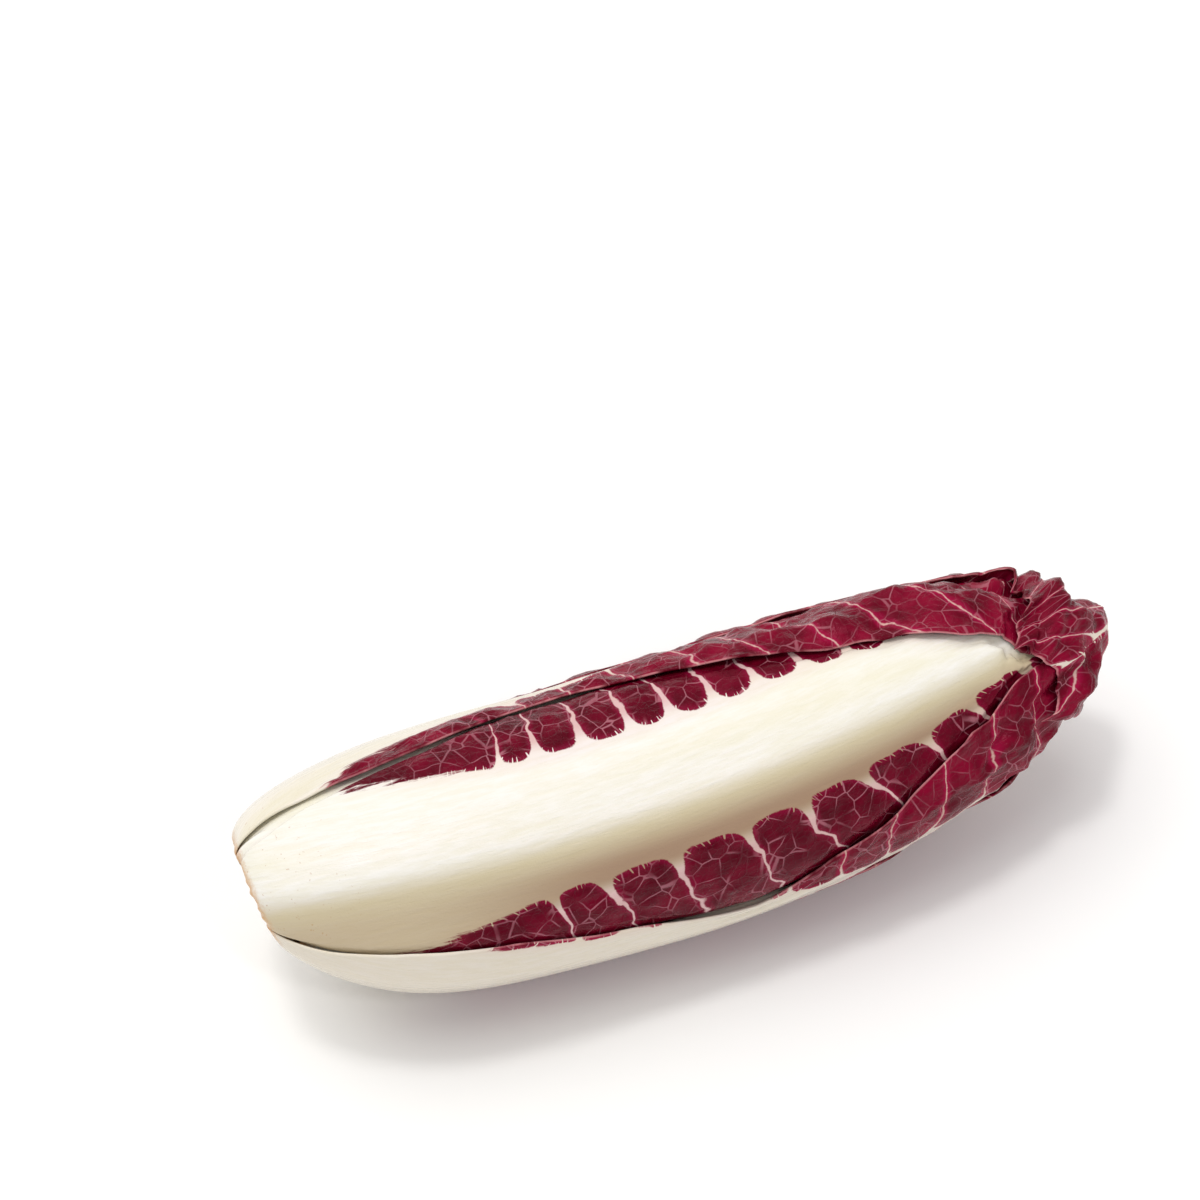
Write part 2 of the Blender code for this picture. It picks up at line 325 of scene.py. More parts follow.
def thickness(leaf, across, along):
    """Leaf thickness in metres."""
    rib = leaf["rib"] * eased(RIB_HEIGHTS, along)
    rib = np.maximum(rib, BLADE)
    return BLADE + (rib - BLADE) * rib_share(across, along)


def free_depth(leaf, across, along, away, scale):
    """Depth of the leaf's outer side where nothing presses on it, with its swells and curls."""
    seed = leaf["seed"]
    loose = step_up(along, 0.35, 0.85)
    margin = np.abs(across)
    swell = np.sin(along * 25.0 + seed + 2.0 * across) * MARGIN_SWELL * margin**3
    swell = swell * np.clip(along * 2 - 0.5, 0, 1)
    ruffle = soft_noise(along * 22.0 + across, across * 1.5, seed + 31)
    lift = (MARGIN_LIFT + LOOSE_LIFT * loose * leaf["ragged"]) * margin**6 * (0.35 + ruffle)
    side = across * np.radians(CREASE_ARC) * np.interp(away, AWAY, RADIUS)
    creases = facet_noise(away / 0.019, side / 0.008, seed + 32) * LARGE_CREASE
    creases += facet_noise(away / 0.008, side / 0.0045, seed + 33) * SMALL_CREASE
    creases *= loose * leaf["crushed"] * step_up(margin, 0.15, 0.55)
    beside = (across - leaf["keel_place"]) / leaf["keel_width"]
    fade = np.exp(-(beside / KEEL_REACH) ** 2 * 0.5)
    keel = leaf["keel"] * (np.sqrt(1.0 + beside**2) - 1.0) * fade
    flank = np.where(beside < 0.0, KEEL_BACK_FLANK, 1.0)
    keel *= flank * step_up(along, -0.1, 0.12) * (1.0 - step_up(along, 0.75, 0.98))
    raised = RIDGE * (1.0 - rib_share(across, along))
    return leaf["depth"] + (raised + keel - swell - lift - creases) * scale


def crumple(away, ring):
    """Outward shift of every layer where the head is crushed towards its tip, in metres."""
    x = away * np.cos(ring) / CRUMPLE_SIZE
    y = away * np.sin(ring) / CRUMPLE_SIZE
    strength = 1.0 - step_up(away, 0.024, 0.075)
    beside_rib = np.abs((np.degrees(ring) - CALM_RING + 180.0) % 360.0 - 180.0)
    calm = 1.0 - step_up(beside_rib, 26.0, 46.0)
    strength *= 1.0 - CALM_SHARE * step_up(away, 0.016, 0.026) * calm
    small = facet_noise(x * CRUMPLE_FINENESS, y * CRUMPLE_FINENESS, 72)
    folds = CRUMPLE_LARGE * facet_noise(x, y, 71) + CRUMPLE_SMALL * small
    lengthwise = away * LONG_SWELL_LENGTHWISE
    swell = LONG_SWELL[0] * soft_noise(lengthwise, np.cos(ring) * 1.3, 73)
    swell = swell + LONG_SWELL[1] * soft_noise(lengthwise, np.sin(ring) * 1.3, 74)
    return strength * (folds - CRUMPLE_SINK) + swell * step_up(away, 0.0, 0.03)


def depth_under(tree, away, ring):
    """Depth of the lowest skin already laid over each place, or a negative number."""
    start, ray, length = rays(away, ring)
    found = np.full(away.shape, -1.0)
    if tree is None:
        return found
    direction = ray / length[..., None]
    cast = tree.ray_cast
    for index in np.ndindex(away.shape):
        hit = cast(Vector(start[index]), Vector(direction[index]), float(length[index]) * 1.25)
        if hit[0] is not None:
            found[index] = (1.0 - hit[3] / length[index] + GAP / length[index]) * GREATEST_RADIUS
    return found


def spread_greatest(values, reach):
    """The greatest value within reach of each place of a lattice."""
    for axis in (0, 1):
        shifted = [np.roll(values, step, axis=axis) for step in range(-reach, reach + 1)]
        values = np.max(shifted, axis=0)
    return values


def smoothed_down(depth, times):
    """Eases the steps in a depth field without making it shallower anywhere."""
    for _ in range(times):
        padded = np.pad(depth, 1, mode="edge")
        blurred = (padded[:-2, 1:-1] + padded[2:, 1:-1] + padded[1:-1, :-2] + padded[1:-1, 2:]) / 4.0
        depth = np.maximum(depth, blurred)
    return depth


def bent(points):
    """Bends straight-head points and moves them so the resting spot's middle is the origin."""
    along = points[..., 0] - BEND_PLACE
    moved = points.copy()
    near_cut = np.clip(1.0 - points[..., 0] / CUT_FADE, 0.0, 1.0)
    moved[..., 0] -= CUT_SLANT * points[..., 2] * near_cut**2
    moved[..., 1] += along**2 / (2.0 * BEND_BACK_RADIUS)
    moved[..., 2] += along**2 / (2.0 * BEND_UP_RADIUS)
    rest_bow = (REST_PLACE - BEND_PLACE) ** 2 / (2.0 * BEND_BACK_RADIUS)
    return moved - np.array([REST_PLACE, rest_bow, REST_LEVEL])


def side_points(away, ring, depth):
    """Straight-head points at a depth under the skin."""
    start, ray, _ = rays(away, ring)
    return start + ray * (1.0 - depth / GREATEST_RADIUS)[..., None]


def cubic_rows(field, places):
    """Reads a field's rows at fractional places with a smooth cubic."""
    last = field.shape[0] - 1
    before = np.clip(np.floor(places).astype(int), 0, last - 1)
    part = (places - before)[:, None]
    points = [field[np.clip(before + step, 0, last)] for step in (-1, 0, 1, 2)]
    a = -0.5 * points[0] + 1.5 * points[1] - 1.5 * points[2] + 0.5 * points[3]
    b = points[0] - 2.5 * points[1] + 2.0 * points[2] - 0.5 * points[3]
    c = -0.5 * points[0] + 0.5 * points[2]
    return ((a * part + b) * part + c) * part + points[1]


def resampled(field, along, across):
    """A coarse field read at finer places along (0 to 1) and across (-1 to 1)."""
    rows = cubic_rows(field, along * (field.shape[0] - 1))
    return cubic_rows(rows.T, (across + 1.0) / 2.0 * (field.shape[1] - 1)).T


# ---------------------------------------------------------------- leaves

def leaf(name, ring, seed, **more):
    """A leaf's measures. Angles are in degrees, the ring angle from the top towards the front.

    The back and front sides are half widths in degrees, the white half widths of the cream rib
    in millimetres, the spacings distances between side veins in millimetres, and the slants how
    far a side vein runs towards the tip for each millimetre away from the rib.
    """
    measures = {
        "name": name,
        "ring": ring,
        "seed": seed,
        "drift": 0.0,
        "foot_place": 0.0,
        "end": 0.006,
        "depth": 0.0008,
        "rib": 0.0052,
        "ragged": 1.0,
        "crushed": 1.0,
        "back_side": (40, 50, 56, 58, 54, 14),
        "front_side": (40, 50, 56, 58, 54, 14),
        "coarse": (96, 60),
        "fine": (300, 150),
        "white": (40, 17, 12, 10, 6, 2.0),
        "spacing_back": 14.0,
        "spacing_front": 14.0,
        "vein_width": 0.35,
        "keel": 0.0,
        "keel_place": 0.05,
        "keel_width": 0.12,
        # Share of painted shade down the rib's lower flank
        "tan_side": 0.0,
        # Share of painted warm shade over the cream
        "warm": 0.0,
        "deep": 0.0,
        "slant_back": (2.4, 1.2, 0.12, 0.16, 0.40, 0.8),
        "slant_front": (2.4, 1.3, 0.20, 0.45, 0.90, 1.1),
        "smoothing": 4,
        "slot": "outer_leaf_skin",
    }
    measures.update(more)
    return measures


def outer_leaves():
    """The five leaves that show, from the outermost in."""
    narrow = (40, 46, 50, 52, 50, 14)
    # Every leaf except the front one gets some painted warm shade over its cream
    return [
        leaf(
            "leaf_outer_bottom", 180, 1, end=0.012, depth=0.0, rib=0.0056, warm=0.35,
            back_side=narrow, front_side=narrow,
        ),
        leaf(
            "leaf_outer_back", -133, 2, end=-0.028, depth=0.0, warm=0.22, crushed=2.2,
            white=(40, 17, 11, 4, 0.2, -0.4),
            back_side=(40, 46, 50, 52, 52, 52, 52, 52, 50, 46, 36),
            front_side=(38, 48, 58, 66, 72, 76, 78, 78, 72, 58, 40),
        ),
        leaf(
            "leaf_outer_low_front", 106, 3, drift=14, end=-0.004, warm=0.35, crushed=1.2,
            white=(40, 20, 12, 1.6, 0.7, 0.5),
            back_side=(25, 28, 31, 29, 20, 8, 30, 54, 68, 64, 26), front_side=narrow,
        ),
        leaf(
            "leaf_outer_top", -66, 4, end=-0.008, warm=0.22, crushed=2.7,
            white=(40, 17, 9, 1.8, 0.8, 0.5), front_side=(44, 42, 28, 51, 79, 22),
        ),
        leaf(
            "leaf_outer_front", 32, 5, drift=-30, end=0.016, depth=0.0011, rib=0.0056,
            # The front leaf has full painted shade down its rib's lower flank
            ragged=0.5, crushed=0.3, keel=0.0011, tan_side=1.0, deep=0.42,
            vein_width=0.85, spacing_back=12.0, spacing_front=16.5,
            white=(60, 23, 17, 16, 11, 5), slant_back=(2.4, 1.3, -0.05, -0.12, -0.12, 0.2),
            back_side=(35, 50, 64, 66, 60, 16),
            front_side=(49, 49, 50, 58, 70, 86, 80, 74, 70, 50, 18),
            smoothing=2, fine=(304, 150),
        ),
    ]


def all_leaves():
    """Every leaf from the outermost to the heart."""
    leaves = outer_leaves()
    for number, ring in enumerate((-18, -100, 143, 72, -152)):
        leaves.append(leaf(
            f"leaf_middle_{number + 1}", ring, 10 + number, foot_place=0.002 * number,
            end=0.010, depth=0.0028, rib=0.0042, coarse=(48, 30), fine=(150, 80),
            slot="middle_leaf_skin",
            back_side=(32, 42, 54, 57, 54, 14), front_side=(34, 44, 54, 57, 54, 14),
        ))
    inner = (28, 42, 58, 64, 58, 16)
    for number in range(1, 5):
        leaves.append(leaf(
            f"leaf_inner_{number}", 30 + LEAF_TURN * number, 20 + number,
            foot_place=0.014 + 0.002 * number, end=0.008, depth=0.0090, rib=0.0036,
            coarse=(36, 20), fine=(80, 50), slot="inner_leaf_skin",
            back_side=inner, front_side=inner,
        ))
    heart = (32, 50, 66, 72, 64, 18)
    for number in range(1, 4):
        leaves.append(leaf(
            f"leaf_heart_{number}", 80 + LEAF_TURN * number, 30 + number,
            foot_place=0.028 + 0.005 * number, end=0.014, depth=0.0150, rib=0.0026,
            coarse=(30, 20), fine=(70, 44), slot="inner_leaf_skin",
            back_side=heart, front_side=heart,
        ))
    return leaves


def coarse_leaf(measures, tree):
    """The leaf laid under those in the tree: its depth field, how far it is covered, its sides."""
    rows, columns = measures["coarse"]
    wide_along = (np.arange((rows + 2) * LATTICE + 1) / LATTICE - 1.0) / rows
    wide_across = (np.arange((columns + 2) * LATTICE + 1) / LATTICE - 1.0) / columns * 2.0 - 1.0
    along, across = np.meshgrid(wide_along, wide_across, indexing="ij")
    under = spread_greatest(depth_under(tree, *leaf_chart(measures, across, along)), LATTICE)
    under = under[LATTICE:-LATTICE:LATTICE, LATTICE:-LATTICE:LATTICE]
    along, across = np.meshgrid(
        np.linspace(0, 1, rows + 1), np.linspace(-1, 1, columns + 1), indexing="ij"
    )
    away, ring = leaf_chart(measures, across, along)
    scale = GREATEST_RADIUS / rays(away, ring)[2]
    free = free_depth(measures, across, along, away, scale)
    top = smoothed_down(np.maximum(free, under), measures["smoothing"])
    covered = step_up(under - free, -0.0006, 0.0004)
    bottom = top + thickness(measures, across, along) * scale
    if bottom.max() > DEEPEST_SHARE * GREATEST_RADIUS:
        raise ValueError(measures["name"] + " has no room left")
    sides = np.stack([side_points(away, ring, top), side_points(away, ring, bottom)])
    return top, covered, sides


def sheet_quads(rows, columns):
    """Quads of a closed sheet: the outer side, the inner side, then the rim between them."""
    grid = np.arange(rows * columns).reshape(rows, columns)
    a, b = grid[:-1, :-1].ravel(), grid[:-1, 1:].ravel()
    c, d = grid[1:, :-1].ravel(), grid[1:, 1:].ravel()
    size = rows * columns
    outer = np.stack([a, b, d, c], axis=1)
    inner = np.stack([a, c, d, b], axis=1) + size
    loop = np.concatenate([grid[0, :], grid[1:, -1], grid[-1, -2::-1], grid[-2:0:-1, 0]])
    after = np.roll(loop, -1)
    rim = np.stack([after, loop, loop + size, after + size], axis=1)
    return outer, inner, rim


def tight_ends(count, closeness):
    """Even places from -1 to 1 with a few extra ones close to both ends, for a rounded rim."""
    even = np.linspace(-1.0, 1.0, count)
    extra = 1.0 - np.array([closeness, closeness * 2.5])
    return np.unique(np.concatenate([even, extra, -extra]))


def add_mesh(name, points, faces, uv, attributes, material):
    """A smooth-shaded mesh piece from arrays."""
    mesh = bpy.data.meshes.new(name)
    mesh.vertices.add(len(points))
    mesh.vertices.foreach_set("co", np.ascontiguousarray(points, np.float32).ravel())
    mesh.loops.add(faces.size)
    mesh.loops.foreach_set("vertex_index", faces.astype(np.int32).ravel())
    mesh.polygons.add(len(faces))
    loop_starts = np.arange(0, faces.size, faces.shape[1], dtype=np.int32)
    mesh.polygons.foreach_set("loop_start", loop_starts)
    mesh.update(calc_edges=True)
    layer = mesh.uv_layers.new(name="OFBake")
    layer.data.foreach_set("uv", np.ascontiguousarray(uv, np.float32).ravel())
    for label, values in attributes.items():
        attribute = mesh.attributes.new(label, "FLOAT_VECTOR", "POINT")
        attribute.data.foreach_set("vector", np.ascontiguousarray(values, np.float32).ravel())
    mesh.validate()
    mesh.shade_smooth()
    mesh.set_sharp_from_angle(angle=math.radians(LEAF_SHARP_ANGLE))
    mesh.materials.append(material)
    piece = bpy.data.objects.new(name, mesh)
    bpy.context.scene.collection.objects.link(piece)
    return piece


def arc_lengths(points, axis):
    """Running distance along one axis of a grid of points."""
    steps = np.linalg.norm(np.diff(points, axis=axis), axis=-1)
    zero = np.zeros_like(np.take(steps, [0], axis=axis))
    return np.concatenate([zero, np.cumsum(steps, axis=axis)], axis=axis)


def relief(measures, along, beyond, from_foot, from_rib, to_margin, off_vein, spacing):
    """Raised veins and blisters on the blade and low ridges on the rib, and the blade's folds."""
    seed = measures["seed"]
    on_blade = step_up(beyond, -2.0, 3.0) * step_up(to_margin, 0.0, 3.0)
    fading = np.exp(-np.maximum(beyond, 0) / 16.0)
    vein_ridge = np.exp(-((off_vein / VEIN_RIDGE_WIDTH) ** 2)) * VEIN_RIDGE * fading
    puff = np.sin(np.clip(off_vein / spacing, 0, 0.5) * math.pi) * PUFF
    blister = BLISTER * facet_noise(from_foot / 5.2, from_rib / 4.4, seed + 41)
    blister *= 0.7 + 0.4 * measures["crushed"]
    blister += FINE_BLISTER * soft_noise(from_foot / 1.9, from_rib / 1.7, seed + 42)
    rib_lines = RIB_GROOVE * soft_noise(from_foot / 60.0, from_rib / 2.6, seed + 43)
    rib_lines += RIB_WAVE * soft_noise(from_foot / 40.0, from_rib / 7.5, seed + 44)
    height = on_blade * (vein_ridge + puff + blister) + (1 - on_blade) * rib_lines
    fold = 0.5 + 0.5 * facet_noise(from_foot / 17.0, from_rib / 6.5, seed + 45)
    fold *= FOLD * measures["crushed"] * step_up(along, 0.35, 0.75) * step_up(beyond, 2.0, 9.0)
    return height + fold


def sheet_uv(sideways, from_foot, faces, rim_count):
    """A UV layout with the outer side, the inner side and the rim each in a band of its own."""
    u = np.tile((sideways / sideways[:, -1:].max()).ravel(), 2) * UV_WIDTH + UV_MARGIN
    reach = (from_foot / from_foot.max()).ravel()
    v = np.concatenate([UV_MARGIN + UV_OUTER_LENGTH * reach, UV_INNER_START + UV_INNER_LENGTH * reach])
    uv = np.stack([u, v], axis=1)[faces.ravel()].reshape(len(faces), 4, 2)
    strip = np.arange(rim_count) / rim_count
    width = 1.0 / rim_count
    low, high = strip * 0 + UV_RIM[0], strip * 0 + UV_RIM[1]
    uv[-rim_count:] = np.stack([
        np.stack([strip + width, low], axis=1),
        np.stack([strip, low], axis=1),
        np.stack([strip, high], axis=1),
        np.stack([strip + width, high], axis=1),
    ], axis=1)
    return uv


def fine_leaf(measures, top, covered):
    """The finished leaf's points, faces, UV layout and the numbers its colours are drawn from."""
    rows, columns = measures["fine"]
    seed = measures["seed"]
    across_line = tight_ends(columns + 1, 0.012)
    along_line = (tight_ends(rows + 1, 0.003) + 1.0) / 2.0
    along, across = np.meshgrid(along_line, across_line, indexing="ij")
    away, ring = leaf_chart(measures, across, along)
    depth = resampled(top, along_line, across_line)
    cover = np.clip(resampled(covered, along_line, across_line), 0, 1)
    scale = GREATEST_RADIUS / rays(away, ring)[2]
    flat = side_points(away, ring, depth)

    # In millimetres: distance from the foot, signed distance from the rib, distance to the margin
    middle = int(np.argmin(np.abs(across_line)))
    sideways = arc_lengths(flat, 1) / MM
    from_rib = sideways - sideways[:, middle:middle + 1]
    from_foot = np.broadcast_to(arc_lengths(flat[:, middle:middle + 1], 0), from_rib.shape) / MM
    to_margin = np.minimum(sideways, sideways[:, -1:] - sideways)
    to_end = from_foot[-1:] - from_foot
    rim = np.minimum(to_margin, to_end)

    # Side veins: a number that rises by one from each vein to the next
    back = across < 0
    white = eased(measures["white"], along)
    wander = soft_noise(from_foot / 17.0, from_rib / 17.0, seed + 40)
    beyond = np.abs(from_rib) - white
    slant = np.where(
        back, eased(measures["slant_back"], along), eased(measures["slant_front"], along)
    )
    lag = np.where(back, 0.5, 0.0) + seed * 0.37
    spacing = np.where(back, measures["spacing_back"], measures["spacing_front"])
    vein = (from_foot - slant * np.maximum(np.abs(from_rib) - 0.5 * white, 0.0)) / spacing + lag
    vein = vein + 0.10 * wander
    off_vein = np.abs(vein - np.round(vein)) * spacing

    raised = relief(measures, along, beyond, from_foot, from_rib, to_margin, off_vein, spacing)
    shift = raised * (1.0 - COVERED_CALM * cover) + crumple(away, ring)
    thick = thickness(measures, across, along)
    rounded = thick * np.sqrt(np.clip(rim / RIM_ROUNDING, 0.04, 1.0))
    near_foot = np.where(to_margin < RIM_ROUNDING, rounded, thick)
    thick_rim = np.where(along < 0.5, near_foot, rounded)
    outer = depth + ((thick - thick_rim) * 0.5 - shift) * scale
    inner = outer + thick_rim * scale
    points = np.stack([side_points(away, ring, outer), side_points(away, ring, inner)])

    # The cut foot is a little uneven
    uneven = soft_noise(ring * 9.0, ring * 0, seed + 50)
    points[..., 0] += np.exp(-from_foot / FOOT_FADE) * FOOT_UNEVENNESS * uneven
    points = bent(points)
    if measures["name"] == "leaf_outer_bottom":
        points[..., 2] = np.maximum(points[..., 2], 0.0)

    outer_quads, inner_quads, rim_quads = sheet_quads(*along.shape)
    faces = np.concatenate([outer_quads, inner_quads, rim_quads])
    uv = sheet_uv(sideways, from_foot, faces, len(rim_quads))
    place = np.stack([from_foot, from_rib, rim], axis=-1).reshape(-1, 3)
    veins = np.stack([vein, beyond, np.zeros_like(vein)], axis=-1).reshape(-1, 3)
    attributes = {"place": np.tile(place, (2, 1)), "veins": np.tile(veins, (2, 1))}
    return points.reshape(-1, 3), faces, uv, attributes


# ---------------------------------------------------------------- materials

class Nodes:
    """Short names for the nodes of one material."""

    def __init__(self, name):
        self.material = bpy.data.materials.new(name)
        self.material.use_nodes = True
        self.tree = self.material.node_tree
        self.shader = self.tree.nodes["Principled BSDF"]

    def put(self, socket, value):
        """Links or sets a socket."""
        if isinstance(value, bpy.types.NodeSocket):
            self.tree.links.new(value, socket)
        else:
            socket.default_value = value

    def math(self, operation, first, second=None, third=None, clamp=False):
        """One Math node, whose inputs may be numbers or sockets."""
        node = self.tree.nodes.new("ShaderNodeMath")
        node.operation = operation
        node.use_clamp = clamp
        for socket, value in zip(node.inputs, (first, second, third)):
            if value is not None:
                self.put(socket, value)
        return node.outputs[0]

    def plus(self, first, second, clamp=False):
        return self.math("ADD", first, second, clamp=clamp)

    def minus(self, first, second):
        return self.math("SUBTRACT", first, second)

    def times(self, first, second):
        return self.math("MULTIPLY", first, second)

    def rest(self, share):
        """What is left of one."""
        return self.minus(1.0, share)

    def fading(self, distance, reach):
        """One at zero, fading exponentially with distance."""
        return self.math("EXPONENT", self.math("DIVIDE", self.math("MAXIMUM", distance, 0.0), -reach))

    def step(self, value, low, high):
        """0 below low, 1 above high, smooth between."""
        node = self.tree.nodes.new("ShaderNodeMapRange")
        node.interpolation_type = "SMOOTHSTEP"
        self.put(node.inputs["Value"], value)
        self.put(node.inputs["From Min"], low)
        self.put(node.inputs["From Max"], high)
        return node.outputs["Result"]

    def mix(self, share, first, second, blend="MIX"):
        node = self.tree.nodes.new("ShaderNodeMix")
        node.data_type = "RGBA"
        node.blend_type = blend
        self.put(node.inputs["Factor"], share)
        self.put(node.inputs[6], first)
        self.put(node.inputs[7], second)
        return node.outputs[2]

    def attribute(self, name):
        """The three numbers of a vector attribute."""
        node = self.tree.nodes.new("ShaderNodeAttribute")
        node.attribute_name = name
        split = self.tree.nodes.new("ShaderNodeSeparateXYZ")
        self.tree.links.new(node.outputs["Vector"], split.inputs[0])
        return split.outputs[0], split.outputs[1], split.outputs[2]

    def vector(self, x, y, z):
        node = self.tree.nodes.new("ShaderNodeCombineXYZ")
        for socket, value in zip(node.inputs, (x, y, z)):
            self.put(socket, value)
        return node.outputs[0]

    def noise(self, vector, scale, detail=2.0, rough=0.55):
        node = self.tree.nodes.new("ShaderNodeTexNoise")
        self.put(node.inputs["Vector"], vector)
        node.inputs["Scale"].default_value = scale
        node.inputs["Detail"].default_value = detail
        node.inputs["Roughness"].default_value = rough
        return node.outputs["Fac"]

    def cells(self, vector, scale):
        node = self.tree.nodes.new("ShaderNodeTexVoronoi")
        node.feature = "DISTANCE_TO_EDGE"
        self.put(node.inputs["Vector"], vector)
        node.inputs["Scale"].default_value = scale
        return node.outputs["Distance"]

    def bump(self, height, distance, strength, normal=None):
        node = self.tree.nodes.new("ShaderNodeBump")
        node.inputs["Strength"].default_value = strength
        node.inputs["Distance"].default_value = distance
        self.put(node.inputs["Height"], height)
        if normal is not None:
            self.put(node.inputs["Normal"], normal)
        return node.outputs["Normal"]


def red_edge(n, measures, here, foot, side, vein, beyond, kink, fringe, foot_part):
    """Signed distance into the red: round lobes between the veins, with fine slits cut into them."""
    seed = float(measures["seed"])
    width = measures["vein_width"]
    spacing_front = measures["spacing_front"]
    on_back = n.math("LESS_THAN", side, 0.0)
    spacing = n.math("MULTIPLY_ADD", on_back, measures["spacing_back"] - spacing_front, spacing_front)
    broad = n.minus(n.noise(here, 0.085, 1.0), 0.5)
    inward = n.plus(beyond, n.times(broad, 3.0))
    bend = n.times(kink, n.times(n.step(inward, 2.0, 12.0), 0.34))
    phase = n.plus(vein, bend)
    aside = n.times(n.minus(n.math("FRACT", phase), 0.5), spacing)
    fan = n.math("ARCTAN2", aside, n.minus(10.0, inward))
    slits = n.noise(n.vector(n.times(fan, 4.6), n.math("FLOOR", phase), seed), 3.0, 1.0, 0.5)
    slits = n.times(n.step(slits, 0.57, 0.66), n.rest(n.step(inward, 1.0, 3.4)))
    slits = n.times(slits, n.minus(1.3, foot_part))
    vein_half = n.plus(0.05 + 0.17 * width, n.times(n.fading(inward, 5.5), 2.3 * width**2))
    off_middle = n.times(n.math("ABSOLUTE", aside), -1.0)
    from_vein = n.minus(n.math("MULTIPLY_ADD", spacing, 0.5, off_middle), vein_half)
    from_vein = n.plus(from_vein, n.times(n.rest(n.step(foot, 48.0, 74.0)), 9.0))
    edge = n.minus(n.math("SMOOTH_MIN", from_vein, inward, 5.0), slits)
    edge = n.plus(edge, n.times(fringe, 0.7))
    streaks = n.noise(n.vector(n.times(foot, 0.10), side, seed), 0.9, 3.0, 0.7)
    return n.plus(edge, n.times(n.minus(streaks, 0.5), n.times(foot_part, 9.0)))


def thread_nets(n, measures, here, foot, side, beyond, kink, fringe, foot_part):
    """Finer veins: a net of pale threads in the red, a smaller net, and how much of them shows."""
    warped_foot = n.plus(foot, n.times(fringe, 0.4))
    warp = n.vector(warped_foot, n.plus(side, n.times(kink, 2.0)), float(measures["seed"]))
    net = n.rest(n.step(n.cells(warp, 0.19), 0.012, 0.042))
    small_net = n.rest(n.step(n.cells(warp, 0.50), 0.0, 0.075))
    patchy = n.step(n.noise(here, 0.12, 1.0), 0.34, 0.60)
    strength = n.plus(n.times(n.fading(beyond, 22.0), 0.40), 0.20)
    threads = n.times(net, n.times(patchy, strength))
    threads = n.times(threads, n.rest(n.times(foot_part, 0.6)))
    return net, small_net, n.plus(threads, n.times(small_net, 0.008), clamp=True)


def cream_colour(n, measures, here, foot, side, beyond, fringe, streak):
    """The rib and veins: cream with pale streaks, pink threads, olive tint and painted shade on the
    front leaf's lower rib flank, painted warm shade on other leaves, and a dried tan cut.
    """
    seed = float(measures["seed"])
    cream = n.mix(n.step(streak, 0.30, 0.72), CREAM, CREAM_PALE)
    tint = n.noise(n.vector(n.times(foot, 0.12), side, seed * 13.0 + 4.0), 0.09, 1.0)
    cream = n.mix(n.times(n.step(tint, 0.46, 0.72), 0.25), cream, CREAM_GREEN)
    lilac = n.times(n.step(beyond, -4.0, 0.5), n.step(foot, 20.0, 60.0))
    cream = n.mix(n.times(lilac, 0.22), cream, CREAM_LILAC)
    thread = n.times(n.step(beyond, 0.5, 7.0), 0.95 - 0.45 * measures["vein_width"])
    cream = n.mix(thread, cream, VEIN_PINK)
    # Painted warm shade over the cream
    cream = n.mix(measures["warm"], cream, CREAM_PAINTED_WARM_SHADE)
    # Painted shade down the rib's lower flank: olive, partly the rib's own tint, then brown lowest,
    # stronger towards the tip
    on_rib = n.times(n.rest(n.step(beyond, 0.5, 6.0)), measures["tan_side"])
    below = n.times(n.step(side, 1.0, 8.0), on_rib)
    lowest = n.times(n.step(side, 6.0, 15.0), on_rib)
    lowest = n.times(lowest, n.math("MULTIPLY_ADD", n.step(foot, 35.0, 95.0), 0.65, 0.35))
    cream = n.mix(n.times(below, 0.75), cream, OLIVE_AND_PAINTED_SHADE)
    cream = n.mix(n.times(lowest, 0.80), cream, PAINTED_SHADE_BROWN)
    tan = n.rest(n.step(n.plus(foot, n.times(fringe, 4.0)), 0.4, 4.6))
    cream = n.mix(n.times(tan, 0.85), cream, CUT_TAN)
    speck = n.step(n.noise(here, 1.1, 1.0), 0.72, 0.76)
    speck = n.times(speck, n.rest(n.step(foot, 8.0, 40.0)))
    return n.mix(n.times(speck, 0.45), cream, SPECK_BROWN)


def crimson_colour(n, measures, here, edge, rim, threads):
    """The blade: clouded crimson, brighter at its edges, with pale threads and a pale thin rim."""
    cloud = n.noise(here, 0.11, 3.0)
    crimson = n.mix(n.step(cloud, 0.32, 0.70), CRIMSON, CRIMSON_LIGHT)
    bright = n.rest(n.step(edge, 0.1, 1.8))
    crimson = n.mix(n.times(bright, 0.6), crimson, CRIMSON_BRIGHT)
    crimson = n.mix(measures["deep"], crimson, CRIMSON_DEEP)
    crimson = n.mix(threads, crimson, THREAD_PINK)
    thin_rim = n.rest(n.step(rim, 0.0, 0.4))
    return n.mix(n.times(thin_rim, n.step(cloud, 0.35, 0.62)), crimson, RIM_PINK)


